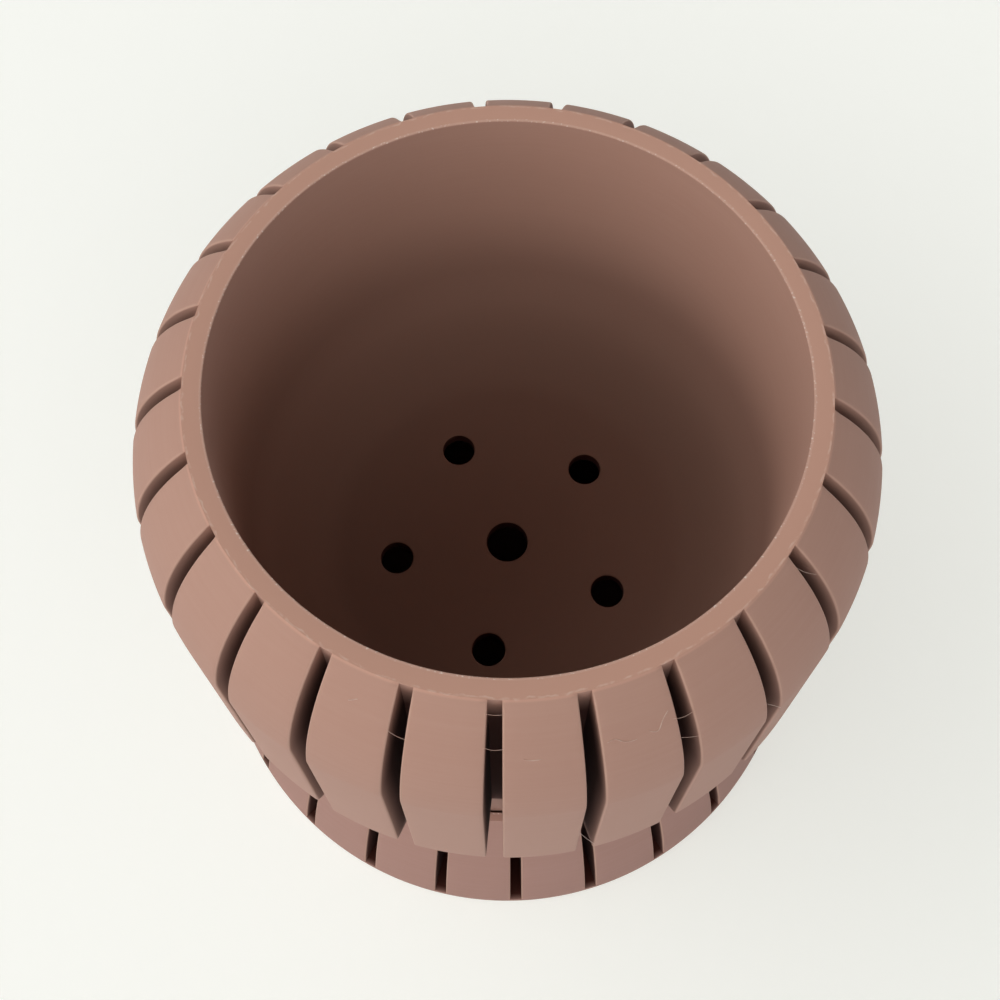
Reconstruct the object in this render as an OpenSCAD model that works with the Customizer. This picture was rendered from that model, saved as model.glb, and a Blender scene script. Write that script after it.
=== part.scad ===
// Ribbed planter pot with a drip tray.
// The pot and the tray are two separate prints. The pot stands on a ledge inside the tray and lifts out.
// The frame has its origin on the table under the middle of the tray, with +Z up.

/* [Cup] */
// Diameter of the mouth that takes the plant
mouth_d = 100; // [80:1:140]
// Thickness of the cup's wall, which is also the width of the flat rim
cup_wall = 3.3; // [2.4:0.1:5]
// Height of the pot from its foot to its rim
pot_h = 102; // [96:1:140]
// Depth of the straight part of the inside, below the rim
straight_depth = 50; // [35:1:55]
// Depth of the inside, from the rim to the floor
floor_depth = 82.4; // [70:0.2:86]
// Thickness of the floor
floor_t = 3.2; // [2:0.2:5]
// Width of the flat foot ring
foot_w = 3.4; // [2.4:0.1:6]

/* [Drain holes] */
// Diameter of the middle hole
middle_hole_d = 8.6; // [4:0.2:12]
// Diameter of each outer hole
outer_hole_d = 6.8; // [3:0.2:9]
// Number of outer holes
outer_hole_count = 5; // [3:1:8]
// Radius of the circle on which the outer holes lie
hole_circle_r = 23.4; // [16:0.2:28]
// Direction of the first outer hole, in degrees
hole_phase = 44.8; // [0:0.1:72]

/* [Ribs of the pot] */
// Number of slots, and so of ribs
rib_count = 25; // [12:1:32]
// How far the ribs stand out of the cup
rib_reach = 12.7; // [8:0.2:18]
// Height of the rounded shoulder, from the rim to the crease
shoulder_h = 24.3; // [16:0.1:30]
// Radius of the shoulder's curve
shoulder_r = 38; // [30:1:90]
// Height of the upright band, from the crease to the lower edge
band_h = 43; // [20:0.5:46]
// Slope of the ribs' underside against the level, in degrees
underside_slope = 45; // [30:1:55]
// Width of a slot at the cup
slot_in_w = 2.2; // [1.2:0.1:3]
// Width of a slot at the ribs' outer face
slot_out_w = 3.1; // [1.2:0.1:4]
// Direction of the first slot, in degrees
slot_phase = 95.3; // [0:0.1:360]

/* [Drip tray] */
// Height of the tray
tray_h = 38; // [32:0.5:50]
// Height of the ledge that carries the pot
ledge_h = 28; // [20:0.5:30]
// Gap round the foot of the pot
foot_gap = 0.4; // [0.3:0.1:1]
// Width of the tray's flat lip, which is also its wall behind the slots
lip_w = 1.7; // [1.2:0.1:3]
// Width of the ledge
ledge_w = 4; // [2.4:0.1:8]
// Thickness of the tray's base plate
base_t = 2.4; // [1.6:0.2:4]
// Radius of the curve from the lip to the base
skirt_r = 150; // [80:5:400]
// Number of slots in the tray's side
tray_rib_count = 25; // [12:1:32]
// Width of a slot at the tray's wall
tray_slot_in_w = 2; // [1.2:0.1:3]
// Width of a slot at the tray's outer face
tray_slot_out_w = 2.4; // [1.2:0.1:4]
// Radius of the round corner between the tray's floor and its wall
dish_corner_r = 5; // [2:0.5:8]
// Direction of the first slot of the tray, in degrees
tray_slot_phase = 228.6; // [0:0.1:360]

/* [Hidden] */
$fn = 96;
// Steps of each curve in an outline
curve_steps = 10;
// How far a cut runs past the surface it opens
overrun = 1;
// How deep the rib ring is let into the cup so that the two are one solid
rib_root = 1;
// Where the bowl starts to curve and where it meets the floor, as shares of the mouth's radius
bowl_pull_share = 0.93;
bowl_end_share = 0.68;
// Slope of the chamfer in the hollow under the floor, as a share of the foot ring's width
hollow_chamfer_share = 0.9;

mouth_r = mouth_d / 2;
cup_r = mouth_r + cup_wall;
rib_r = cup_r + rib_reach;
pot_z = ledge_h;
rim_z = pot_z + pot_h;
crease_z = rim_z - shoulder_h;
rib_foot_z = crease_z - band_h;
rib_root_z = rib_foot_z - rib_reach * tan(underside_slope);
floor_z = rim_z - floor_depth;
hollow_z = floor_z - floor_t;
hollow_r = cup_r - foot_w;
hollow_chamfer = foot_w * hollow_chamfer_share;
bore_r = cup_r + foot_gap;
lip_r = bore_r + lip_w;
dish_r = bore_r - ledge_w;

// Points of a circular arc from a to b that bulges outwards with radius r
function arc(a, b, r) =
    let (chord = norm(b - a),
         mid = (a + b) / 2,
         along = (b - a) / chord,
         out = [along[1], -along[0]],
         back = sqrt(r * r - chord * chord / 4),
         centre = mid - out * back,
         half = asin(chord / 2 / r),
         facing = atan2(out[1], out[0]))
    [for (i = [0:curve_steps])
        let (t = facing - half + 2 * half * i / curve_steps)
        centre + r * [cos(t), sin(t)]];

// Points of a curve that leaves a towards the pull point and arrives at b
function bend(a, pull, b) =
    [for (i = [0:curve_steps])
        let (t = i / curve_steps)
        (1 - t) * (1 - t) * a + 2 * t * (1 - t) * pull + t * t * b];

// Outline of the cup: foot ring, raised floor, bowl and rim
module cup_outline() {
    bowl = bend([mouth_r, rim_z - straight_depth], [mouth_r * bowl_pull_share, floor_z],
                [mouth_r * bowl_end_share, floor_z]);
    polygon(concat(
        [[0, hollow_z],
         [hollow_r - hollow_chamfer, hollow_z],
         [hollow_r, hollow_z - hollow_chamfer],
         [hollow_r, pot_z],
         [cup_r, pot_z],
         [cup_r, rim_z],
         [mouth_r, rim_z]],
        bowl,
        [[0, floor_z]]));
}

// Outline of the ribs before the slots are cut
module rib_outline() {
    polygon(concat(
        [[cup_r - rib_root, rib_root_z],
         [cup_r, rib_root_z],
         [rib_r, rib_foot_z]],
        arc([rib_r, crease_z], [cup_r, rim_z], shoulder_r),
        [[cup_r - rib_root, rim_z]]));
}

// Cutters for slots that widen from in_w at radius r0 to out_w at radius r1
module slots(count, phase, r0, r1, in_w, out_w, z0, z1) {
    widen = (out_w - in_w) / (r1 - r0);
    far_w = out_w + widen * overrun;
    near_w = in_w - widen * overrun;
    for (i = [0:count - 1])
        rotate([0, 0, phase + 360 * i / count])
            translate([0, 0, z0])
                linear_extrude(height = z1 - z0)
                    polygon([[r0 - overrun, -near_w / 2], [r1 + overrun, -far_w / 2],
                             [r1 + overrun, far_w / 2], [r0 - overrun, near_w / 2]]);
}

module drain_holes() {
    translate([0, 0, hollow_z - overrun])
        cylinder(d = middle_hole_d, h = floor_t + 2 * overrun);
    for (i = [0:outer_hole_count - 1])
        rotate([0, 0, hole_phase + 360 * i / outer_hole_count])
            translate([hole_circle_r, 0, hollow_z - overrun])
                cylinder(d = outer_hole_d, h = floor_t + 2 * overrun);
}

module pot_ribs() {
    difference() {
        rotate_extrude() rib_outline();
        slots(rib_count, slot_phase, cup_r - rib_root, rib_r, slot_in_w, slot_out_w,
              rib_root_z - overrun, rim_z + overrun);
    }
}

module pot() {
    color([0.69, 0.54, 0.48])
        difference() {
            union() {
                rotate_extrude() cup_outline();
                pot_ribs();
            }
            drain_holes();
        }
}

// Outline of the tray's body: base plate, wall, lip, ledge and dish
module tray_outline() {
    polygon(concat(
        [[0, 0],
         [rib_r, 0],
         [rib_r, base_t],
         [lip_r, base_t],
         [lip_r, tray_h],
         [bore_r, tray_h],
         [bore_r, ledge_h],
         [dish_r, ledge_h]],
        bend([dish_r, base_t + dish_corner_r], [dish_r, base_t], [dish_r - dish_corner_r, base_t]),
        [[0, base_t]]));
}

// Outline of the tray's flared ribs before the slots are cut
module tray_rib_outline() {
    polygon(concat(
        [[lip_r - rib_root, base_t]],
        arc([rib_r, base_t], [lip_r, tray_h], skirt_r),
        [[lip_r - rib_root, tray_h]]));
}

module tray_ribs() {
    difference() {
        rotate_extrude() tray_rib_outline();
        slots(tray_rib_count, tray_slot_phase, lip_r - rib_root, rib_r, tray_slot_in_w, tray_slot_out_w,
              base_t - overrun, tray_h + overrun);
    }
}

module drip_tray() {
    color([0.66, 0.51, 0.46])
        union() {
            rotate_extrude() tray_outline();
            tray_ribs();
        }
}

pot();
drip_tray();
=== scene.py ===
"""Ribbed planter pot and its drip tray, printed in dusty rose plastic, dressed over the frame.

The pot and the tray each get a closed mesh with rounded edges that stands for their solid.
Sizes are in millimetres, and a mesh is scaled to metres as it is written.
"""

import logging
import math
from collections.abc import Sequence
from dataclasses import dataclass
from enum import Enum

import bmesh
import bpy
import numpy as np
from mathutils import Euler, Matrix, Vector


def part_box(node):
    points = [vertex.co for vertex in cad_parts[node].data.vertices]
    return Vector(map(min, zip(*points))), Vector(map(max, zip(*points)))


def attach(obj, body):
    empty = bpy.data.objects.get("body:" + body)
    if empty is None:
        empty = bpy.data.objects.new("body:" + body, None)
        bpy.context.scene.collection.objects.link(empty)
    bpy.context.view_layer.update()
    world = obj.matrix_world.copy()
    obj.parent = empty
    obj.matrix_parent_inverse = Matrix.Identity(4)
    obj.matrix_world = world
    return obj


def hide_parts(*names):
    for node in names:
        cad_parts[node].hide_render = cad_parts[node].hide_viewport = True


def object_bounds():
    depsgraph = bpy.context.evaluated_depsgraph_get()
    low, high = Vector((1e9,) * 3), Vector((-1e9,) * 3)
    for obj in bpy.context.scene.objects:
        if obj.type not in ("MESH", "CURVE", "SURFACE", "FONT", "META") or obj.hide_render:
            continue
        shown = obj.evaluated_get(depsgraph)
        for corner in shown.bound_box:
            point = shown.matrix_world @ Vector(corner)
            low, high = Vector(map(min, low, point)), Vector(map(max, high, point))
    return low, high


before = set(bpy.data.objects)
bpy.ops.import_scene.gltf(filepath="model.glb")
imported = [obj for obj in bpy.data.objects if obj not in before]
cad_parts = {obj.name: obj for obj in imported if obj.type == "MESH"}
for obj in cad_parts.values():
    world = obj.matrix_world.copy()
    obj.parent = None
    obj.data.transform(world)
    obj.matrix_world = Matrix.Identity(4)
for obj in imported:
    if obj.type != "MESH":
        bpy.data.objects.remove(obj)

LOG = logging.getLogger("planter")
CAD_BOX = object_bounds()
MM = 0.001
PHOTO_SIDE = 1000
SENSOR_W = 36.0

# Points nearer than WELD become one. A rounded edge takes BEND_STEPS straight steps. On the two
# prints, an edge that turns less than SMOOTH_BELOW degrees is shaded smooth.
WELD = 0.002
BEND_STEPS = 4
SMOOTH_BELOW = 32

# The slot mark is where the material paints shade deep in slots and holes; the edge mark is where it
# paints a highlight along the ribs' rounded corners.
SLOT_SHADE_MARK, EDGE_HIGHLIGHT_MARK = "slot_shade", "rib_edge_highlight"

Patch = tuple[np.ndarray, np.ndarray]
Span = tuple[float, float]
Point = Span | np.ndarray
Node, Socket, Tree = bpy.types.Node, bpy.types.NodeSocket, bpy.types.NodeTree


class Cut(Enum):
    """How the slots meet a row of an outline."""

    PLAIN = "the row runs round unbroken"
    SLOTTED = "the slots are cut into the row"


def linear(colour: str) -> tuple[float, float, float, float]:
    """Turn an sRGB hex colour into the linear colour that a shader takes.

    The curve is straight up to 0.04045 and goes with the power of 2.4 above it.

    Args:
        colour: Six hex digits after a hash sign.

    Returns:
        Linear red, green and blue with an alpha of 1.
    """
    parts = np.array([int(colour[i : i + 2], 16) for i in (1, 3, 5)]) / 255
    straight = np.where(parts <= 0.04045, parts / 12.92, ((parts + 0.055) / 1.055) ** 2.4)
    return (*map(float, straight), 1.0)


def bend(start: Point, pull: Point, end: Point, steps: int = BEND_STEPS) -> np.ndarray:
    """Work out a curve that leaves start towards pull and arrives at end from pull.

    The formula is the quadratic Bezier blend, (1-t)^2 start + 2t(1-t) pull + t^2 end.

    Args:
        start: First point.
        pull: Point that draws the curve.
        end: Last point.
        steps: Number of straight steps.

    Returns:
        Points, one a row, both ends included.
    """
    t = np.linspace(0, 1, steps + 1)[:, None]
    a, b, c = (np.asarray(p, float) for p in (start, pull, end))
    return (1 - t) ** 2 * a + 2 * t * (1 - t) * b + t**2 * c


def rounded(corner: Point, before: Point, after: Point, steps: int = BEND_STEPS) -> np.ndarray:
    """Round a corner with a bend from corner + before to corner + after."""
    corner = np.asarray(corner, float)
    return bend(corner + before, corner, corner + after, steps)


def arc(start: Point, end: Point, radius: float, steps: int) -> np.ndarray:
    """Work out a circular arc that bulges to the right of the way from start to end.

    The centre lies sqrt(radius^2 - (chord / 2)^2) left of the chord's middle.

    Args:
        start: First point.
        end: Last point.
        radius: Radius of the arc.
        steps: Number of straight steps.

    Returns:
        Points, one a row, both ends included.
    """
    a, b = np.asarray(start, float), np.asarray(end, float)
    chord = np.linalg.norm(b - a)
    along = (b - a) / chord
    out = np.array([along[1], -along[0]])
    centre = (a + b) / 2 - out * math.sqrt(radius**2 - chord**2 / 4)
    half = math.asin(chord / 2 / radius)
    turn = math.atan2(out[1], out[0]) + np.linspace(-half, half, steps + 1)
    return centre + radius * np.stack([np.cos(turn), np.sin(turn)], 1)


def grid_patch(points: np.ndarray, wrap: bool) -> Patch:
    """Make a patch of four-sided faces over a grid of points.

    Args:
        points: Grid of points, rows by columns by 3, or by 5 where they carry the two marks.
        wrap: Whether the last column joins the first.

    Returns:
        The patch's points, with their marks, and its faces.
    """
    rows, cols, held = points.shape
    points = np.concatenate([points, np.zeros((rows, cols, 5 - held))], -1)
    index = np.arange(rows * cols).reshape(rows, cols)
    if wrap:
        index = np.concatenate([index, index[:, :1]], 1)
    faces = np.stack([index[:-1, :-1], index[:-1, 1:], index[1:, 1:], index[1:, :-1]], -1)
    return points.reshape(-1, 5), faces.reshape(-1, 4)


def make_piece(name: str, patches: list[Patch], smooth_below: float) -> bpy.types.Object:
    """Join patches into one closed mesh with outward faces.

    Args:
        name: Name of the piece.
        patches: The patches, whose shared edges have the same points.
        smooth_below: Edges that turn less than this many degrees are shaded smooth.

    Returns:
        The new object, linked to the scene.
    """
    starts = np.cumsum([0] + [len(points) for points, _ in patches])
    points = np.concatenate([points for points, _ in patches])
    faces = np.concatenate([faces + start for (_, faces), start in zip(patches, starts)])
    mesh = bpy.data.meshes.new(name)
    mesh.from_pydata((points[:, :3] * MM).tolist(), [], faces.tolist())
    for name_of_mark, values in zip((SLOT_SHADE_MARK, EDGE_HIGHLIGHT_MARK), points[:, 3:].T):
        mark = mesh.attributes.new(name_of_mark, "FLOAT", "POINT")
        mark.data.foreach_set("value", values.astype(np.float32))
    shape = bmesh.new()
    shape.from_mesh(mesh)
    bmesh.ops.remove_doubles(shape, verts=shape.verts, dist=WELD * MM)
    bmesh.ops.recalc_face_normals(shape, faces=shape.faces)
    open_edges = sum(not edge.is_manifold for edge in shape.edges)
    shape.to_mesh(mesh)
    shape.free()
    mesh.shade_smooth()
    mesh.set_sharp_from_angle(angle=math.radians(smooth_below))
    piece = bpy.data.objects.new(name, mesh)
    bpy.context.scene.collection.objects.link(piece)
    LOG.info("%s: %d faces, %d open edges", name, len(mesh.polygons), open_edges)
    return piece


def wire(tree: Tree, node: Node, inputs: dict | Sequence) -> None:
    """Give a shader node its inputs.

    Args:
        tree: Node tree that holds the node.
        node: The node.
        inputs: What its inputs get, in turn or by name or number: a value, a socket, or a node,
            which stands for its first output.
    """
    for name, value in inputs.items() if isinstance(inputs, dict) else enumerate(inputs):
        if isinstance(value, Node):
            value = value.outputs[0]
        if isinstance(value, Socket):
            tree.links.new(value, node.inputs[name])
        else:
            node.inputs[name].default_value = value


def add_node(tree: Tree, kind: str, inputs: dict | Sequence = (), **settings) -> Node:
    """Add one shader node with its settings and links.

    Args:
        tree: Node tree that takes the node.
        kind: Blender's name for the node's type, after the word ShaderNode.
        inputs: What its inputs get, as wire takes it.
        settings: Properties of the node.

    Returns:
        The new node.
    """
    node = tree.nodes.new("ShaderNode" + kind)
    for name, value in settings.items():
        setattr(node, name, value)
    wire(tree, node, inputs)
    return node


def new_material(name: str) -> tuple[bpy.types.Material, Tree, Node]:
    """Make a plain material.

    Args:
        name: Its name.

    Returns:
        The material, its node tree and its Principled shader.
    """
    material = bpy.data.materials.new(name)
    material.use_nodes = True
    return material, material.node_tree, material.node_tree.nodes["Principled BSDF"]


@dataclass(frozen=True)
class Slots:
    """Upright slots round a body, and the columns of points that follow their walls and edges.

    Attributes:
        phase: Direction of the first slot, in degrees.
        core_r: Radius of the wall at the bottom of the slots.
        face_r: Greatest radius of the ribs' outer face.
        in_w: Width of a slot at core_r.
        out_w: Width of a slot at face_r.
        edge: How far the rounding of a rib's long edges reaches.
        edge_most: Greatest share of a slot's depth that it takes.
        lit_power: Power with which a slot's painted shade comes in as it gets deeper below its
        upper end.
        least_rise: Depth below which a row counts as having no slot.
        floor_steps: Steps from the middle of a slot to its wall. After them come side_steps up the
            wall, edge_steps round the rib's edge and face_steps to the middle of the rib.
    """

    count: int
    phase: float
    core_r: float
    face_r: float
    in_w: float
    out_w: float
    edge: float = 0.45
    edge_most: float = 0.45
    lit_power: float = 0.5
    least_rise: float = 0.1
    floor_steps: int = 2
    side_steps: int = 3
    edge_steps: int = 4
    face_steps: int = 5

    @property
    def columns(self) -> int:
        """Number of columns that one slot and its rib take."""
        return 2 * (self.floor_steps + self.side_steps + self.edge_steps + self.face_steps)

    @property
    def pitch(self) -> float:
        """Angle from one slot to the next, in radians."""
        return 2 * math.pi / self.count

    def half_width(self, radius: np.ndarray) -> np.ndarray:
        """Give half the slot's width, which grows evenly with the radius."""
        share = (radius - self.core_r) / (self.face_r - self.core_r)
        return (self.in_w + (self.out_w - self.in_w) * share) / 2

    def half_columns(self, face: np.ndarray) -> tuple[np.ndarray, ...]:
        """Work out the columns from the middle of a slot to the middle of a rib.

        The slot's floor is an arc at core_r, its wall is straight, the rib's edge is a bend round
        the corner where wall and face meet, and the rib's face is an arc at the row's radius.

        Args:
            face: Radius of the ribs' face in each row.

        Returns:
            Angle and radius of each column in each row, its angle in an unbroken row, and its two
            marks: painted shade, its share of the slot's depth, less where the slot runs out, and a
            painted highlight, how near it is to the middle of a rounded edge.
        """
        reach = np.maximum(face, self.core_r)[:, None]
        edge = np.minimum(self.edge, self.edge_most * (reach - self.core_r))
        half = self.half_width(reach)
        corner = np.sqrt(reach**2 - half**2)
        root = math.sqrt(self.core_r**2 - self.half_width(self.core_r) ** 2)
        wall_x = root + (corner - edge - root) * np.linspace(0, 1, self.side_steps + 1)
        wall_y = self.half_width(wall_x)
        turn = np.arctan2(half, corner)
        edge_turn = turn + edge / reach
        t = np.linspace(0, 1, self.edge_steps + 1)[1:]
        start, pull, end = (1 - t) ** 2, 2 * t * (1 - t), t**2
        edge_x = start * wall_x[:, -1:] + pull * corner + end * reach * np.cos(edge_turn)
        edge_y = start * wall_y[:, -1:] + pull * half + end * reach * np.sin(edge_turn)
        floor = np.linspace(0, 1, self.floor_steps + 1)[:-1]
        face_share = np.linspace(0, 1, self.face_steps + 1)[1:]
        face_turn = edge_turn + (self.pitch / 2 - edge_turn) * face_share
        wall_turn, cut_turn = np.arctan2(wall_y, wall_x), np.arctan2(edge_y, edge_x)
        angle = np.concatenate([floor * wall_turn[:, :1], wall_turn, cut_turn, face_turn], 1)
        radius = np.concatenate(
            [np.full((len(face), self.floor_steps), self.core_r), np.hypot(wall_x, wall_y),
             np.hypot(edge_x, edge_y), np.repeat(reach, self.face_steps, 1)], 1)
        unbroken = np.concatenate([floor * turn, np.repeat(turn, self.side_steps + 1, 1),
                                   np.maximum(cut_turn, turn), face_turn], 1)
        # The edge mark: a painted highlight along the rib's rounded corner.
        edge_highlight_share = np.zeros_like(radius)
        first = self.floor_steps + self.side_steps + 1
        edge_highlight_share[:, first : first + self.edge_steps] = 2 * pull * edge / self.edge
        # The slot mark: painted shade that deepens into the slot and fades towards the rim.
        rise = reach - self.core_r
        full = (rise / np.maximum(rise.max(), self.least_rise)) ** self.lit_power
        full[: face.argmax()] = 1
        deep = (reach - radius) / np.maximum(rise, self.least_rise) * full
        return angle, radius, unbroken, np.stack([deep, edge_highlight_share], -1)

    def rows(self, profile: np.ndarray, cut: Cut, like: float | None = None) -> np.ndarray:
        """Carry a profile round the body.

        Half a slot and half a rib are mirrored about the rib's middle and repeated round the axis.

        Args:
            profile: Radius and height of each row.
            cut: Whether the slots are cut into the rows.
            like: For unbroken rows, the radius of the slotted row whose columns they line up with.

        Returns:
            Grid of points with their marks, rows by columns by 5.
        """
        face = profile[:, 0] if cut is Cut.SLOTTED else np.full(len(profile), like or self.core_r)
        angle, radius, unbroken, marks = self.half_columns(face)
        if cut is Cut.PLAIN:
            angle, marks = unbroken, 0 * marks
            radius = np.repeat(profile[:, :1], angle.shape[1], 1)
        angle = np.concatenate([angle, self.pitch - angle[:, -2:0:-1]], 1)
        radius = np.concatenate([radius, radius[:, -2:0:-1]], 1)
        marks = np.tile(np.concatenate([marks, marks[:, -2:0:-1]], 1), (1, self.count, 1))
        steps = np.repeat(np.arange(self.count), self.columns) * self.pitch
        turn = math.radians(self.phase) + steps + np.tile(angle, (1, self.count))
        radius = np.tile(radius, (1, self.count))
        height = np.repeat(profile[:, 1:], radius.shape[1], 1)
        place = np.stack([radius * np.cos(turn), radius * np.sin(turn), height], -1)
        return np.concatenate([place, marks], -1)


@dataclass(frozen=True)
class Drains:
    """Round drain holes in the pot's floor: one in the middle and a ring of smaller ones.

    Attributes:
        middle_r: Radius of the middle hole.
        outer_r: Radius of each outer hole, of which there are count.
        circle_r: Radius of the circle on which the outer holes lie.
        phase: Direction of the first outer hole, in degrees.
        edge: Reach of the rounding at each hole.
        arc_steps: Steps of a sector round the middle hole, with side_steps along its straight side
            and ring_steps from its outline to its hole.
    """

    middle_r: float = 4.3
    outer_r: float = 3.4
    count: int = 5
    circle_r: float = 23.4
    phase: float = 44.8
    edge: float = 0.3
    arc_steps: int = 24
    side_steps: int = 10
    ring_steps: int = 6

    def bore(self, radius: float, top: float, bottom: float) -> np.ndarray:
        """Work out the profile of a hole, straight between two rounded edges.

        Args:
            radius: Radius of the hole.
            top: Height of the floor's upper side.
            bottom: Height of its lower side.

        Returns:
            Radius, height and the two marks of each row, from the upper edge to the lower one. The
            straight wall takes the slot mark in full, a painted shade inside the hole.
        """
        upper = rounded((radius, top), (self.edge, 0), (0, -self.edge))
        lower = rounded((radius, bottom), (0, self.edge), (self.edge, 0))
        marks = np.zeros((len(upper) + len(lower), 2))
        # Painted shade on the hole's straight wall, through the slot mark.
        marks[len(upper) - 1 : len(upper) + 1, 0] = 1
        return np.concatenate([np.concatenate([upper, lower]), marks], 1)

    @staticmethod
    def wall(bore: np.ndarray, centre: np.ndarray, out: np.ndarray) -> Patch:
        """Carry a hole's profile round the hole.

        Args:
            bore: The profile, with its marks.
            centre: Centre of the hole.
            out: Direction of each column, as an arrow of length 1.

        Returns:
            Patch for the wall of the hole.
        """
        place = centre + bore[:, None, :1] * out
        rest = np.broadcast_to(bore[:, None, 1:], place.shape[:2] + (3,))
        return grid_patch(np.concatenate([place, rest], -1), wrap=True)

    def patches(self, top_row: np.ndarray, bottom_row: np.ndarray, slots: Slots) -> list[Patch]:
        """Fill the floor between its upper and lower rims, with the holes through it.

        The floor is cut into one sector an outer hole. In each, straight lines run from the
        sector's outline to the hole, so it is a grid from the one to the other.

        Args:
            top_row: Points round the upper side of the floor.
            bottom_row: Points round its lower side, one below each of them.
            slots: Slots whose columns the rows follow.

        Returns:
            Patches for both sides of the floor and for the holes' walls.
        """
        top, bottom = top_row[0, 2], bottom_row[0, 2]
        span = 2 * math.pi / self.count
        per_sector = slots.count // self.count * slots.columns
        first = round((math.radians(self.phase - slots.phase) - span / 2) / slots.pitch)
        start_turn = math.radians(slots.phase) + first * slots.pitch
        middle, outer = (self.bore(radius, top, bottom) for radius in (self.middle_r, self.outer_r))
        turn = start_turn + np.linspace(0, 2 * math.pi, self.count * self.arc_steps, endpoint=False)
        patches = [self.wall(middle, np.zeros(2), np.stack([np.cos(turn), np.sin(turn)], 1))]
        for sector in range(self.count):
            begin = (first * slots.columns + sector * per_sector) % len(top_row)
            columns = (begin + np.arange(per_sector + 1)) % len(top_row)
            turn = start_turn + sector * span
            hole_turn = math.radians(self.phase) + sector * span
            centre = self.circle_r * np.array([math.cos(hole_turn), math.sin(hole_turn)])
            loops = [self.sector_outline(row[columns, :2], turn, span)
                     for row in (top_row, bottom_row)]
            out = loops[0] - centre
            out /= np.linalg.norm(out, axis=1, keepdims=True)
            share = np.linspace(0, 1, self.ring_steps + 1)[:, None, None]
            for loop, height in zip(loops, (top, bottom)):
                rings = loop + (centre + (self.outer_r + self.edge) * out - loop) * share
                flat = np.full(rings.shape[:2] + (1,), height)
                patches.append(grid_patch(np.concatenate([rings, flat], -1), wrap=True))
            patches.append(self.wall(outer, centre, out))
        return patches

    def sector_outline(self, rim: np.ndarray, turn: float, span: float) -> np.ndarray:
        """Walk round a sector: along its rim, in to the middle hole, round that and out again.

        Args:
            rim: Points along the sector's outer arc.
            turn: Direction in which the sector starts.
            span: Angle that the sector takes.

        Returns:
            Points of the closed outline.
        """
        reach = np.linalg.norm(rim[0])
        inner = self.middle_r + self.edge
        share = np.linspace(0, 1, self.side_steps + 1)[1:-1, None]
        ends = [np.array([math.cos(a), math.sin(a)]) for a in (turn, turn + span)]
        inward = (reach + (inner - reach) * share) * ends[1]
        outward = (inner + (reach - inner) * share) * ends[0]
        back = turn + np.linspace(span, 0, self.arc_steps + 1)
        arc_in = inner * np.stack([np.cos(back), np.sin(back)], 1)
        return np.concatenate([rim, inward, arc_in, outward])


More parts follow.
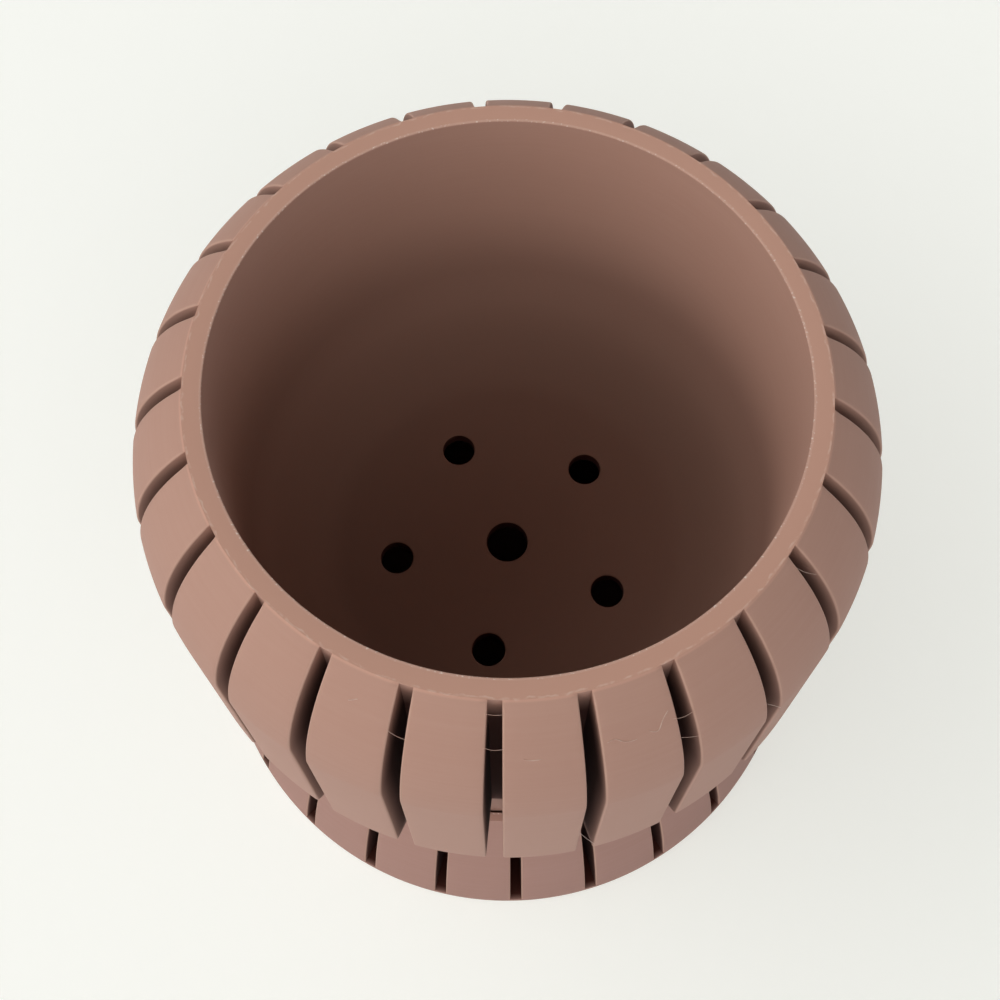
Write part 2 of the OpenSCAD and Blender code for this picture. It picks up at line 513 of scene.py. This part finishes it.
@dataclass(frozen=True)
class PrintedPla:
    """PLA laid down by a printer in level beads, with a matt skin.

    Each layer leaves a fine level line on upright and sloping walls, and each bead a fine ring on
    flat ones. Layers differ a little in tone where the bead was fed more or less. A painted
    highlight makes the bead paler where it turns a rib's corner, and the flat top is painted paler
    as a highlight. Inside the bore, deep in the slots and in the drain holes it is rougher, as the
    nozzle can't smooth it there, and painted darker as painted shade, with a ring of painted shade
    where the bore turns in to its bowl. On the flat top a ragged, pale seam shows here and there
    where the cup's own beads meet those of the ribs, and crumbs cling to the bore's edge, drawn as
    pale specks painted as glints along a faint painted highlight. Noise is counted in waves a
    millimetre. A span holds the two values between which something comes in.

    Attributes:
        seam_r: Radius of the seam on the flat top.
        bore_r: Radius of the bore's edge.
        top_z: Height of the flat top.
        colour: Colour of the plastic, as sRGB hex, and streak_colour that of the paler layers.
        top_highlight_colour: Colour of the flat top, painted paler as a highlight, which reaches
        top_h down.
        bore_shade_colour: Colour of the painted shade deep inside the bore. It comes in over
        bore_shade_span below the top.
        painted_shade_colour: Colour of the painted shade deep in a slot, and of the ring of
        painted shade where the bore turns in.
        edge_highlight_colour: Colour of the painted highlight along a rib's rounded corner.
        layer: Height that one drawn layer takes. The real ones are 0.2 mm and too fine to show,
            so they are drawn this coarse.
        bead: Width that one drawn bead takes on a flat, where the real ones are 0.42 mm.
        along_per_mm: Noise along a layer. Its roughness is layer_noise.
        grain_per_mm: Noise of the fine grain. Its share of the relief is grain_share.
        drift_per_mm: Noise of the slow change of tone.
        pale_span: Span of the sum of layers and drift, for the paler layers.
        flat_span: Span of the normal's upward share, for beads in place of layers.
        dark_at: Share of a slot's greatest depth at which its painted shade is full.
        dark_power: Power of the depth with which that colour comes in, quick at first.
        seam_w: Half the seam's width. Its strength is seam_share, and it sways by seam_sway.
        raised_per_mm: Noise that breaks the seam up over raised_span.
        crumb_w: Half the width of the ring of crumbs, pale specks painted as glints. Between them
        the ring is a faint painted highlight of the bore's edge, of strength edge_glint_least.
        peak_per_mm: Noise whose peaks are the crumbs, over peak_span.
        turn_z: Height at which the bore's wall turns in to its bowl, where a ring of painted shade
            is darkest.
        turn_shade_share: Strength of that ring of painted shade, which reaches turn_above up and
            turn_below down.
        wall_reach: How far outside bore_r the bore's wall begins to count.
        roughness: Roughness of the skin, and dull_roughness deep in a slot and inside the bore.
        relief: Strength of the relief, whose height is relief_h.
    """

    name: str
    seam_r: float
    bore_r: float
    top_z: float
    colour: str = "#B58D7D"
    streak_colour: str = "#B79080"
    top_highlight_colour: str = "#C29785"
    bore_shade_colour: str = "#8E6D5F"
    painted_shade_colour: str = "#431709"
    edge_highlight_colour: str = "#C09A89"
    seam_colour: str = "#CDAB9B"
    crumb_glint_colour: str = "#E2D2C8"
    layer: float = 0.55
    bead: float = 0.6
    along_per_mm: float = 0.045
    layer_noise: float = 0.6
    grain_per_mm: float = 1.5
    grain_share: float = 0.25
    drift_per_mm: float = 0.022
    pale_span: Span = (0.75, 1.25)
    flat_span: Span = (0.93, 0.99)
    dark_at: float = 0.4
    dark_power: float = 0.45
    seam_share: float = 0.9
    seam_w: float = 0.21
    seam_sway: float = 1.3
    sway_per_mm: float = 0.4
    raised_per_mm: float = 0.6
    raised_span: Span = (0.42, 0.6)
    crumb_w: float = 0.33
    edge_glint_least: float = 0.12
    peak_per_mm: float = 2.2
    peak_span: Span = (0.6, 0.68)
    bore_shade_span: Span = (3.0, 80.0)
    turn_z: float = 0.0
    turn_shade_share: float = 0.0
    turn_above: float = 24.0
    turn_below: float = 11.0
    top_h: float = 0.4
    wall_reach: float = 0.3
    roughness: float = 0.75
    dull_roughness: float = 0.9
    relief: float = 0.18
    relief_h: float = 0.1
    ior: float = 1.46

    def build(self) -> bpy.types.Material:
        """Make the material from its layers, its marks and the fine things on its flat top.

        Its colour starts as the plastic's own, and each further one is mixed over it by its share.

        Returns:
            The material.
        """
        material, tree, shader = new_material(self.name)
        place = add_node(tree, "TexCoord").outputs["Object"]
        x, y, z = add_node(tree, "SeparateXYZ", [place]).outputs
        flat = add_node(tree, "CombineXYZ", [x, y])
        out = add_node(tree, "VectorMath", [flat], operation="LENGTH").outputs["Value"]
        streaks = self.layers(tree, flat, z, out)
        grain, drift = (add_node(tree, "TexNoise", {"Vector": place, "Scale": waves / MM})
                        for waves in (self.grain_per_mm, self.drift_per_mm))
        tone = add_node(tree, "Math", [streaks, drift], operation="ADD")
        pale = add_node(tree, "MapRange", [tone, *self.pale_span])
        # The flat top is painted paler as a highlight; the bore's painted shade comes in with depth
        # below it.
        on_top, down = (
            add_node(tree, "MapRange", [z, (self.top_z - start) * MM, (self.top_z - end) * MM])
            for start, end in ((self.top_h, self.top_h / 2), self.bore_shade_span))
        inner = add_node(tree, "MapRange", [
            out, (self.bore_r + self.wall_reach) * MM, self.bore_r * MM])
        # Painted shade inside the bore, darker with depth below the top.
        bore_shade = add_node(tree, "Math", [inner, down], operation="MULTIPLY")
        # A ring of painted shade where the bore turns in to its bowl, in the slots' shade colour.
        ring = inner
        for reach, share in ((self.turn_above, self.turn_shade_share), (-self.turn_below, 1.0)):
            side = add_node(tree, "MapRange", [
                z, (self.turn_z + reach) * MM, self.turn_z * MM, 0.0, share])
            ring = add_node(tree, "Math", [ring, side], operation="MULTIPLY")
        # Painted shade deep in the slots and drain holes, read from the mesh's slot mark.
        deep = add_node(tree, "Attribute", attribute_name=SLOT_SHADE_MARK).outputs["Fac"]
        deep = add_node(tree, "MapRange", {0: deep, 2: self.dark_at})
        deep = add_node(tree, "Math", [deep, self.dark_power], operation="POWER")
        # Painted highlight along the ribs' rounded corners, read from the mesh's edge mark.
        edge = add_node(tree, "Attribute", attribute_name=EDGE_HIGHLIGHT_MARK).outputs["Fac"]
        seam, crumbs = self.top_marks(tree, place, on_top, out)
        colour = linear(self.colour)
        # Mixed over the plastic: the paler top and the ribs' corners are painted highlights; the
        # bore's inside, its turn ring, the slots and the holes are painted shade.
        for share, over in (
                (pale, self.streak_colour), (on_top, self.top_highlight_colour), (bore_shade, self.bore_shade_colour),
                (ring, self.painted_shade_colour), (deep, self.painted_shade_colour), (edge, self.edge_highlight_colour),
                (seam, self.seam_colour), (crumbs, self.crumb_glint_colour)):
            colour = add_node(tree, "Mix", {0: share, 6: colour, 7: linear(over)},
                              data_type="RGBA").outputs[2]
        rough = add_node(tree, "Math", [deep, inner], operation="MAXIMUM")
        rough = add_node(tree, "MapRange", {0: rough, 3: self.roughness, 4: self.dull_roughness})
        relief = add_node(tree, "Math", [grain, self.grain_share, streaks],
                          operation="MULTIPLY_ADD")
        for mark in (seam, crumbs):
            relief = add_node(tree, "Math", [relief, mark], operation="ADD")
        bump = add_node(tree, "Bump", {
            "Height": relief, "Strength": self.relief, "Distance": self.relief_h * MM})
        wire(tree, shader, {
            "Base Color": colour, "Normal": bump, "Roughness": rough, "IOR": self.ior})
        return material

    def layers(self, tree: Tree, flat: Node, height: Socket, out: Socket) -> Node:
        """Draw the layers: noise that runs along them and changes once a layer or bead.

        Args:
            tree: Node tree that takes the nodes.
            flat: Node of the place across the axis.
            height: Socket of the height.
            out: Socket of the distance from the axis.

        Returns:
            Node of the noise, from 0 to 1.
        """
        facing = add_node(tree, "NewGeometry").outputs["Normal"]
        upright = add_node(tree, "SeparateXYZ", [facing]).outputs[2]
        level = add_node(tree, "Math", [upright], operation="ABSOLUTE")
        on_flat = add_node(tree, "MapRange", [level, *self.flat_span])
        layers, beads = (
            add_node(tree, "Math", [way, 1 / (step * MM)], operation="MULTIPLY")
            for way, step in ((height, self.layer), (out, self.bead)))
        line = add_node(tree, "Mix", {0: on_flat, 2: layers, 3: beads}, data_type="FLOAT")
        waves = self.along_per_mm / MM
        along = add_node(tree, "VectorMath", [flat, [waves] * 3], operation="MULTIPLY")
        across = add_node(tree, "CombineXYZ", {2: line})
        stretched = add_node(tree, "VectorMath", [along, across], operation="ADD")
        return add_node(tree, "TexNoise", {
            "Vector": stretched, "Scale": 1.0, "Roughness": self.layer_noise})

    def top_marks(self, tree: Tree, place: Socket, on_top: Node, out: Socket) -> list[Node]:
        """Draw what is on the flat top: the ragged seam and the crumbs at the bore's edge.

        The seam is a ring whose radius sways with noise, and another noise breaks it up. The
        crumbs are the peaks of a fine noise in a narrow ring at the bore's edge, pale specks painted
        as glints, and between them the ring is a faint painted highlight of the edge. A ring fades
        from a third of its width to the whole of it, and is multiplied by its strength and by
        on_top.

        Args:
            tree: Node tree that takes the nodes.
            place: Socket of the place.
            on_top: Node that gives 1 on the flat top.
            out: Socket of the distance from the axis.

        Returns:
            Nodes of the seam's strength and of the strength of the crumbs and the painted highlight
            between them, from 0 to 1.
        """
        sway, raised, peaks = (
            add_node(tree, "TexNoise", {"Vector": place, "Scale": waves / MM})
            for waves in (self.sway_per_mm, self.raised_per_mm, self.peak_per_mm))
        swayed = add_node(tree, "Math", [sway, self.seam_sway * MM, out], operation="MULTIPLY_ADD")
        raised = add_node(tree, "MapRange", [raised, *self.raised_span, 0.0, self.seam_share])
        peaks = add_node(tree, "MapRange", [peaks, *self.peak_span, self.edge_glint_least])
        seam_r = self.seam_r - self.seam_w + self.seam_sway / 2
        marks = []
        for where, radius, width, strength in (
                (swayed, seam_r, self.seam_w, raised),
                # The crumbs' ring: pale specks and, between them, a faint painted highlight of the
                # bore's edge.
                (out, self.bore_r + self.crumb_w / 2, self.crumb_w, peaks)):
            off = add_node(tree, "Math", [where, radius * MM], operation="SUBTRACT")
            off = add_node(tree, "Math", [off], operation="ABSOLUTE")
            mark = add_node(tree, "MapRange", [off, width * MM, width / 3 * MM])
            for share in (strength, on_top):
                mark = add_node(tree, "Math", [mark, share], operation="MULTIPLY")
            marks.append(mark)
        return marks


@dataclass(frozen=True)
class DrawnPla:
    """A hair of PLA that the nozzle drew out as it travelled, so thin that it is pale and glossy.

    Attributes:
        colour: Colour of the hair where it is thin, as sRGB hex, and core_colour elsewhere.
        thin_per_mm: Noise that makes it thin over thin_span, in waves a millimetre.
    """

    name: str = "drawn_pla"
    colour: str = "#C8AC9E"
    core_colour: str = "#B08777"
    thin_per_mm: float = 0.6
    thin_span: Span = (0.3, 0.6)
    roughness: float = 0.35
    ior: float = 1.46

    def build(self) -> bpy.types.Material:
        """Make the material, paler where the hair is thinnest.

        Returns:
            The material.
        """
        material, tree, shader = new_material(self.name)
        place = add_node(tree, "TexCoord").outputs["Object"]
        thin = add_node(tree, "TexNoise", {"Vector": place, "Scale": self.thin_per_mm / MM})
        share = add_node(tree, "MapRange", [thin, *self.thin_span])
        colour = add_node(tree, "Mix", {
            0: share, 6: linear(self.core_colour), 7: linear(self.colour)}, data_type="RGBA")
        wire(tree, shader, {
            "Base Color": colour.outputs[2], "Roughness": self.roughness, "IOR": self.ior})
        return material


@dataclass
class Pot:
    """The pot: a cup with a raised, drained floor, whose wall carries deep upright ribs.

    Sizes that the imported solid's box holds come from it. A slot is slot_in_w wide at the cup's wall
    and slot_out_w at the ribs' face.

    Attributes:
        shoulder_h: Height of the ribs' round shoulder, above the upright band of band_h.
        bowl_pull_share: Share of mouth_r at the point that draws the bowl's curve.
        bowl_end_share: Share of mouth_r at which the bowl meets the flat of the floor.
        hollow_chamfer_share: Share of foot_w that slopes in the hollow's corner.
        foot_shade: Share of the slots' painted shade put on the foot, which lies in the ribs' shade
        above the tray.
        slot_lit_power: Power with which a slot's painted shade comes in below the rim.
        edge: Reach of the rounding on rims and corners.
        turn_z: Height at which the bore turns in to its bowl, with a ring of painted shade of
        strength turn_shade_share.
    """

    mouth_r: float = 50.0
    cup_wall: float = 3.3
    straight_depth: float = 50.0
    floor_depth: float = 82.4
    floor_t: float = 3.2
    foot_w: float = 3.4
    shoulder_h: float = 24.3
    shoulder_r: float = 38.0
    band_h: float = 43.0
    bowl_pull_share: float = 0.93
    bowl_end_share: float = 0.68
    hollow_chamfer_share: float = 0.9
    foot_shade: float = 0.05
    slot_count: int = 25
    slot_phase: float = 95.3
    slot_in_w: float = 2.2
    slot_out_w: float = 3.1
    slot_lit_power: float = 2.8
    edge: float = 0.5
    shoulder_steps: int = 28
    bowl_steps: int = 20
    slope_steps: int = 4
    turn_z: float = 77.0
    turn_shade_share: float = 0.16

    def __post_init__(self) -> None:
        """Take the ribs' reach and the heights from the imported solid's box."""
        low, high = (np.array(corner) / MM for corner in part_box("pot"))
        self.rib_r = high[0]
        self.cup_r = self.mouth_r + self.cup_wall
        self.rib_reach = self.rib_r - self.cup_r
        self.foot_z, self.rim_z = low[2], high[2]
        self.crease_z = self.rim_z - self.shoulder_h
        self.rib_foot_z = self.crease_z - self.band_h
        self.floor_z = self.rim_z - self.floor_depth
        self.hollow_z = self.floor_z - self.floor_t
        self.slots = Slots(self.slot_count, self.slot_phase, self.cup_r, self.rib_r, self.slot_in_w,
                           self.slot_out_w, lit_power=self.slot_lit_power)

    def foot(self) -> np.ndarray:
        """Work out the profile of the hollow and of the foot ring, up to where the ribs start.

        Returns:
            Radius and height of each row.
        """
        inner = self.cup_r - self.foot_w
        chamfer = self.foot_w * self.hollow_chamfer_share
        e = self.edge
        return np.concatenate([
            [(inner - chamfer, self.hollow_z), (inner, self.hollow_z - chamfer)],
            rounded((inner, self.foot_z), (0, e), (e, 0)),
            rounded((self.cup_r, self.foot_z), (-e, 0), (0, e)),
            [(self.cup_r, self.rib_foot_z - self.rib_reach)]])

    def ribs(self) -> np.ndarray:
        """Work out the ribs' profile: sloping underside, upright band, crease and round shoulder.

        Returns:
            Radius and height of each row.
        """
        e = self.edge
        root = (self.cup_r, self.rib_foot_z - self.rib_reach)
        lower = rounded((self.rib_r, self.rib_foot_z), (-e, -e), (0, e))
        shoulder = arc((self.rib_r, self.crease_z), (self.cup_r, self.rim_z), self.shoulder_r,
                       self.shoulder_steps)
        crease = bend((self.rib_r, self.crease_z - 2 * e), (self.rib_r, self.crease_z), shoulder[1])
        slope = np.linspace(root, lower[0], self.slope_steps + 1)[:-1]
        return np.concatenate([slope, lower, crease, shoulder[2:]])

    def inside(self) -> np.ndarray:
        """Work out the profile from the rim down the inside to the flat of the floor.

        Returns:
            Radius and height of each row.
        """
        e = self.edge / 2
        mouth = rounded((self.mouth_r, self.rim_z), (e, 0), (0, -e))
        bowl = bend((self.mouth_r, self.rim_z - self.straight_depth),
                    (self.mouth_r * self.bowl_pull_share, self.floor_z),
                    (self.mouth_r * self.bowl_end_share, self.floor_z), self.bowl_steps)
        return np.concatenate([[(self.cup_r, self.rim_z)], mouth, bowl])

    def build(self) -> bpy.types.Object:
        """Make the pot's closed mesh.

        Returns:
            The pot.
        """
        foot = self.slots.rows(self.foot(), Cut.PLAIN)
        ribs = self.slots.rows(self.ribs(), Cut.SLOTTED)
        # The foot and the ribs' lowest row take a share of painted shade.
        foot[..., 3] = ribs[0, :, 3] = self.foot_shade
        grid = np.concatenate([foot, ribs, self.slots.rows(self.inside(), Cut.PLAIN)])
        floor = Drains().patches(grid[-1], grid[0], self.slots)
        return make_piece("pot_print", [grid_patch(grid, wrap=True), *floor], SMOOTH_BELOW)

    def plastic(self) -> PrintedPla:
        """Give the pot's plastic."""
        return PrintedPla("pot_pla", self.cup_r, self.mouth_r, self.rim_z, turn_z=self.turn_z,
                          turn_shade_share=self.turn_shade_share)


@dataclass(frozen=True)
class Strings:
    """Hair-thin strings of plastic that the nozzle drew across the slots and laid on the ribs.

    Attributes:
        thick: Thickness of a string in its middle.
        routes: Each string's route on the ribs' face, as directions in degrees and heights.
        steps: Steps from one point of a route to the next.
        taper: Power with which a string thins towards its ends.
    """

    name: str
    thick: float
    routes: tuple
    sides: int = 6
    steps: int = 6
    taper: float = 0.25

    @classmethod
    def across(cls) -> "Strings":
        """Give the strings that cross the slots."""
        return cls("strings_across", 0.075, (
            ((266.6, 128.3), (268.1, 128.2), (269.6, 128.3)),
            ((266.6, 123.6), (268.1, 123.3), (269.6, 123.5)),
            ((252.1, 123.5), (253.7, 123.0), (255.3, 122.8)),
            ((294.9, 122.5), (296.6, 121.9), (298.6, 122.0)),
            ((295.4, 118.4), (296.9, 117.4), (298.3, 116.6)),
            ((280.9, 83.4), (282.3, 75.5), (284.1, 65.6)),
            ((309.8, 112.6), (311.3, 109.3), (312.9, 104.9)),
            ((324.2, 128.4), (325.1, 126.6), (326.6, 124.6))))

    @classmethod
    def laid(cls) -> "Strings":
        """Give the strings that lie on the ribs, which are a little thicker."""
        return cls("strings_laid", 0.2, (
            ((294.6, 124.2), (293.5, 123.2), (292.5, 121.7), (291.6, 121.8), (291.0, 122.3)),
            ((284.6, 122.4), (285.9, 122.7), (287.4, 121.7), (289.2, 121.5)),
            ((272.2, 121.8), (273.6, 121.5), (275.1, 121.6)),
            ((245.4, 125.6), (246.0, 125.9), (246.9, 126.4))))

    def build(self, pot: Pot) -> bpy.types.Object:
        """Make every string as a tube that thins to a point at both ends.

        A route is carried on the ribs' face by Catmull-Rom curves. A ring of the tube lies square
        to it, and its radius is half the thickness times sin(pi t) to the power of the taper.

        Args:
            pot: The pot that carries the strings.

        Returns:
            The strings, as one piece.
        """
        profile = pot.ribs()
        around = np.linspace(0, 2 * math.pi, self.sides, endpoint=False)[None, :, None]
        patches = []
        for route in self.routes:
            knots = np.array([route[0], *route, route[-1]], float)
            t = np.linspace(0, 1, self.steps, endpoint=False)[None, :, None]
            a, b, c, d = (knots[i : len(knots) - 3 + i, None] for i in range(4))
            path = (b + t * (c - a) / 2 + t**2 * (a - 2.5 * b + 2 * c - d / 2)
                    + t**3 * (1.5 * (b - c) + (d - a) / 2)).reshape(-1, 2)
            path = np.concatenate([path, knots[-1:]])
            turn, height = np.radians(path[:, 0]), path[:, 1]
            reach = np.interp(height, profile[:, 1], profile[:, 0])
            out = np.stack([np.cos(turn), np.sin(turn), 0 * turn], 1)
            centre = out * reach[:, None] + np.stack([0 * height, 0 * height, height], 1)
            along = np.gradient(centre, axis=0)
            along /= np.linalg.norm(along, axis=1, keepdims=True)
            side = np.cross(along, out)
            side /= np.linalg.norm(side, axis=1, keepdims=True)
            up = np.cross(side, along)
            share = np.linspace(0, 1, len(path))
            radius = (self.thick / 2 * np.sin(math.pi * share).clip(0) ** self.taper)[:, None, None]
            ring = np.cos(around) * side[:, None] + np.sin(around) * up[:, None]
            patches.append(grid_patch(centre[:, None] + radius * ring, wrap=True))
        return make_piece(self.name, patches, smooth_below=80)


@dataclass
class DripTray:
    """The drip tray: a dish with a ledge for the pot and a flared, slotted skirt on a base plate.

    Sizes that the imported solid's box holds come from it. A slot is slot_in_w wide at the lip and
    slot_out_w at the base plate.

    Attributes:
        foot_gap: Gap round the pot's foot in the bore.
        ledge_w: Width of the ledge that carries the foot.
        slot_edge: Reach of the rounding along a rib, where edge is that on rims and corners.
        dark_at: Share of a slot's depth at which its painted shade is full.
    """

    foot_gap: float = 0.4
    lip_w: float = 1.7
    ledge_w: float = 4.0
    base_t: float = 2.4
    skirt_r: float = 150.0
    dish_corner_r: float = 5.0
    slot_count: int = 25
    slot_phase: float = 228.6
    slot_in_w: float = 2.0
    slot_out_w: float = 2.4
    slot_edge: float = 0.4
    edge: float = 0.5
    skirt_steps: int = 24
    corner_steps: int = 8
    dark_at: float = 0.12
    colour: str = "#A88175"
    streak_colour: str = "#AB857A"
    # A painted highlight: the lip's flat top is paler than the tray's plastic.
    top_highlight_colour: str = "#AE887B"
    # A painted shade: the inside of the dish is darker.
    bore_shade_colour: str = "#8A665B"

    def __post_init__(self) -> None:
        """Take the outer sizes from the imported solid's box and the bore from the pot."""
        low, high = (np.array(corner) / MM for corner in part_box("drip_tray"))
        pot = Pot()
        self.outer_r, self.top_z = high[0], high[2]
        self.bore_r = pot.cup_r + self.foot_gap
        self.lip_r = self.bore_r + self.lip_w
        self.dish_r = self.bore_r - self.ledge_w
        self.ledge_z = pot.foot_z
        self.slots = Slots(self.slot_count, self.slot_phase, self.lip_r, self.outer_r,
                           self.slot_in_w, self.slot_out_w, edge=self.slot_edge)

    def base(self) -> np.ndarray:
        """Work out the base plate's profile, from the middle of its underside to its upper edge.

        Returns:
            Radius and height of each row.
        """
        e = self.edge
        return np.concatenate([
            [(0, 0), (self.outer_r / 2, 0)],
            rounded((self.outer_r, 0), (-e, 0), (0, e)),
            [(self.outer_r, self.base_t)]])

    def skirt(self) -> np.ndarray:
        """Give the profile of the flared ribs, an arc from the base plate to the lip."""
        return arc((self.outer_r, self.base_t), (self.lip_r, self.top_z), self.skirt_r,
                   self.skirt_steps)

    def dish(self) -> np.ndarray:
        """Work out the profile from the lip over the ledge to the middle of the dish's floor.

        Returns:
            Radius and height of each row.
        """
        e = self.edge / 2
        corner = self.dish_corner_r
        return np.concatenate([
            [(self.lip_r, self.top_z)],
            rounded((self.bore_r, self.top_z), (e, 0), (0, -e)),
            [(self.bore_r, self.ledge_z)],
            rounded((self.dish_r, self.ledge_z), (e, 0), (0, -e)),
            rounded((self.dish_r, self.base_t), (0, corner), (-corner, 0), self.corner_steps),
            [(self.dish_r / 2, self.base_t), (0, self.base_t)]])

    def build(self) -> bpy.types.Object:
        """Make the tray's closed mesh.

        Returns:
            The tray.
        """
        grid = np.concatenate([
            self.slots.rows(self.base(), Cut.PLAIN, like=self.outer_r),
            self.slots.rows(self.skirt(), Cut.SLOTTED),
            self.slots.rows(self.dish(), Cut.PLAIN)])
        return make_piece("tray_print", [grid_patch(grid, wrap=True)], SMOOTH_BELOW)

    def plastic(self) -> PrintedPla:
        """Give the tray's plastic, a shade darker than the pot's and with no seam on its lip."""
        return PrintedPla("tray_pla", self.lip_r, self.bore_r, self.top_z, self.colour,
                          self.streak_colour, self.top_highlight_colour, self.bore_shade_colour,
                          dark_at=self.dark_at, seam_share=0.0)


@dataclass
class Studio:
    """Camera, lamps and floor, fitted to the photograph.

    Attributes:
        eye: Place of the camera, turned by turn about X, Y and Z, in degrees.
        lens: Focal length on a sensor that is SENSOR_W wide.
        near: Nearest distance that it sees.
        axis_px: Pixel of the photograph on the camera's axis.
        floor_r: Radius of the flat of the floor. Its edge has swept up by sweep_h at sweep_r.
        turn_steps: Steps round the floor, with flat_steps and sweep_steps outwards.
        floor_colour: Colour of the floor that lights the pot, as sRGB hex.
        seen_colour: Colour of the floor as the camera sees it.
        floor_glow: Share of a glow, of glow_colour and glow_strength, that it sees there.
        bright_side: Direction of the dome's brightest part.
        bright_span: Cosines to that direction between which its strength grows to sky_bright.
        clear_span: Heights between which it comes in above the horizon.
        dark_span: Heights between which it goes out overhead.
        window_at: Place of the square lamp.
    """

    eye: tuple[float, float, float] = (0.0, -108.6, 358.9)
    turn: tuple[float, float, float] = (27.02, 0.02, 0.17)
    lens: float = 55.72
    near: float = 10.0
    axis_px: tuple[float, float] = (505.2, 330.0)
    floor_r: float = 2000.0
    sweep_r: float = 3400.0
    sweep_h: float = 1500.0
    turn_steps: int = 96
    flat_steps: int = 7
    sweep_steps: int = 12
    floor_roughness: float = 0.6
    floor_colour: str = "#E0E3EA"
    seen_colour: str = "#FAFFFF"
    glow_colour: str = "#FFFFF6"
    glow_strength: float = 1.18
    floor_glow: float = 0.4
    sky_colour: str = "#FFFCF8"
    bright_side: tuple[float, float, float] = (-0.344, -0.292, 0.893)
    bright_span: Span = (0.285, 0.801)
    sky_bright: float = 2.47
    clear_span: Span = (0.279, 0.523)
    dark_span: Span = (0.646, 0.985)
    window_at: tuple[float, float, float] = (-1000.0, -300.0, 500.0)
    window_side: float = 900.0
    window_watts: float = 1.5
    window_colour: str = "#FFFDFA"

    def camera(self) -> None:
        """Place the camera and make it the scene's."""
        data = bpy.data.cameras.new("camera")
        data.sensor_width, data.lens = SENSOR_W, self.lens
        data.shift_x = 0.5 - self.axis_px[0] / PHOTO_SIDE
        data.shift_y = self.axis_px[1] / PHOTO_SIDE - 0.5
        data.clip_start = self.near * MM
        camera = bpy.data.objects.new("camera", data)
        camera.location = [value * MM for value in self.eye]
        camera.rotation_euler = Euler([math.radians(value) for value in self.turn], "XYZ")
        bpy.context.scene.collection.objects.link(camera)
        bpy.context.scene.camera = camera

    def window(self) -> None:
        """Add a soft square lamp that faces the pot."""
        data = bpy.data.lights.new("window", "AREA")
        data.shape, data.size, data.energy = "SQUARE", self.window_side * MM, self.window_watts
        data.color = linear(self.window_colour)[:3]
        lamp = bpy.data.objects.new("window", data)
        lamp.location = [value * MM for value in self.window_at]
        aim = (CAD_BOX[0] + CAD_BOX[1]) / 2 - lamp.location
        lamp.rotation_euler = aim.to_track_quat("-Z", "Y").to_euler()
        bpy.context.scene.collection.objects.link(lamp)

    def floor(self) -> None:
        """Lay a wide floor that sweeps up, stays near white and keeps the pot's shadow."""
        turn = np.linspace(0, 2 * math.pi, self.turn_steps, endpoint=False)
        flat = np.linspace((0, 0), (self.floor_r, 0), self.flat_steps + 1)
        sweep = bend((self.floor_r, 0), (self.sweep_r, 0), (self.sweep_r, self.sweep_h),
                     self.sweep_steps)
        radius, height = np.concatenate([flat, sweep])[:, :, None].transpose(1, 0, 2)
        points = np.stack([radius * np.cos(turn), radius * np.sin(turn), height + 0 * turn], -1)
        floor = make_piece("floor", [grid_patch(points, wrap=True)], smooth_below=30)
        material, tree, shader = new_material("painted_board")
        path = add_node(tree, "LightPath").outputs
        seen = add_node(tree, "Math", [path["Is Camera Ray"], path["Is Glossy Ray"]],
                        operation="MAXIMUM")
        colour = add_node(tree, "Mix", {
            0: seen, 6: linear(self.floor_colour), 7: linear(self.seen_colour)}, data_type="RGBA")
        wire(tree, shader, {"Base Color": colour.outputs[2], "Roughness": self.floor_roughness})
        glow = add_node(tree, "Emission", [linear(self.glow_colour), self.glow_strength])
        share = add_node(tree, "Math", [seen, self.floor_glow], operation="MULTIPLY")
        mixed = add_node(tree, "MixShader", [share, shader, glow])
        wire(tree, tree.nodes["Material Output"], {"Surface": mixed})
        floor.data.materials.append(material)

    def light(self) -> None:
        """Light the pot from a dome that is bright on the left and dark overhead, and from a lamp.

        The dome's strength is the product of three shares of its direction: one grows to
        sky_bright over bright_span, one to 1 over clear_span, and one falls to nought over
        dark_span. The height is the sine of the elevation.
        """
        world = bpy.data.worlds.new("room")
        bpy.context.scene.world = world
        world.use_nodes = True
        tree = world.node_tree
        way = add_node(tree, "TexCoord").outputs["Generated"]
        side = add_node(tree, "VectorMath", [way, self.bright_side],
                        operation="DOT_PRODUCT").outputs["Value"]
        bright = add_node(tree, "MapRange", [side, *self.bright_span, 0.0, self.sky_bright],
                          interpolation_type="SMOOTHSTEP")
        height = add_node(tree, "SeparateXYZ", [way]).outputs[2]
        strength = add_node(tree, "MapRange", [height, *self.clear_span])
        high = add_node(tree, "MapRange", [height, *self.dark_span, 1.0, 0.0],
                        interpolation_type="SMOOTHSTEP")
        for share in (high, bright):
            strength = add_node(tree, "Math", [strength, share], operation="MULTIPLY")
        wire(tree, tree.nodes["Background"], [linear(self.sky_colour), strength])
        self.window()


def main() -> None:
    """Build the scene: camera first, then the pieces, then the light and the floor."""
    logging.basicConfig(level=logging.INFO, format="%(name)s: %(message)s")
    studio = Studio()
    studio.camera()
    pot, tray, hair = Pot(), DripTray(), DrawnPla().build()
    pieces = [
        (pot.build(), "pot", "pot", "pot_print", pot.plastic().build()),
        (tray.build(), "drip_tray", "drip_tray", "tray_print", tray.plastic().build()),
        (Strings.across().build(pot), "pot", None, "pot_print", hair),
        (Strings.laid().build(pot), "pot", None, "pot_print", hair),
    ]
    for piece, body, node, slot, material in pieces:
        piece.data.materials.append(material)
        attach(piece, body)
        if node:
            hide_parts(node)
        LOG.info("%s rides on %s and stands for %s", piece.name, body, node or "no node")
    studio.floor()
    studio.light()
    bpy.context.scene.view_settings.view_transform = "Standard"


if __name__ == "__main__":
    main()
